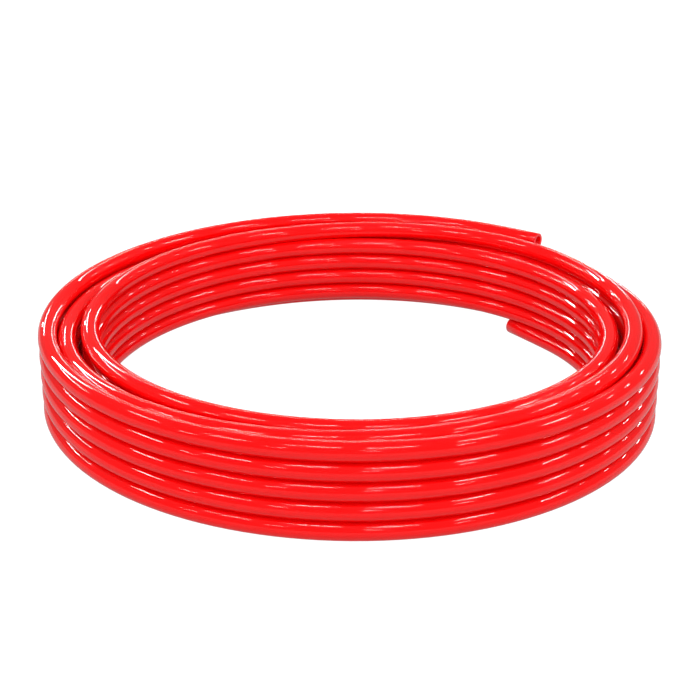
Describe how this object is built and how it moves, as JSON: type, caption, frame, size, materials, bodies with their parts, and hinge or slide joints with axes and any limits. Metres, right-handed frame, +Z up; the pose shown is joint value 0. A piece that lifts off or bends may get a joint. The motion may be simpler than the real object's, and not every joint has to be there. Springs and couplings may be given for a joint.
{
  "type": "coiled air hose",
  "caption": "Plastic air hose with bare cut ends, wound in a neat layered storage coil with an open middle.",
  "frame": {"origin": "on the floor, under the middle of the coil", "axes": "+Z up along the coil's axis; both ends of the hose are at 45 degrees from +X towards +Y"},
  "size_m": [0.27, 0.27, 0.0481],
  "materials": {
    "hose": "glossy"
  },
  "bodies": {
    "root": {"hose_coil": "hose", "hose_end_inner": "hose", "hose_end_outer": "hose"}
  },
  "joints": []
}
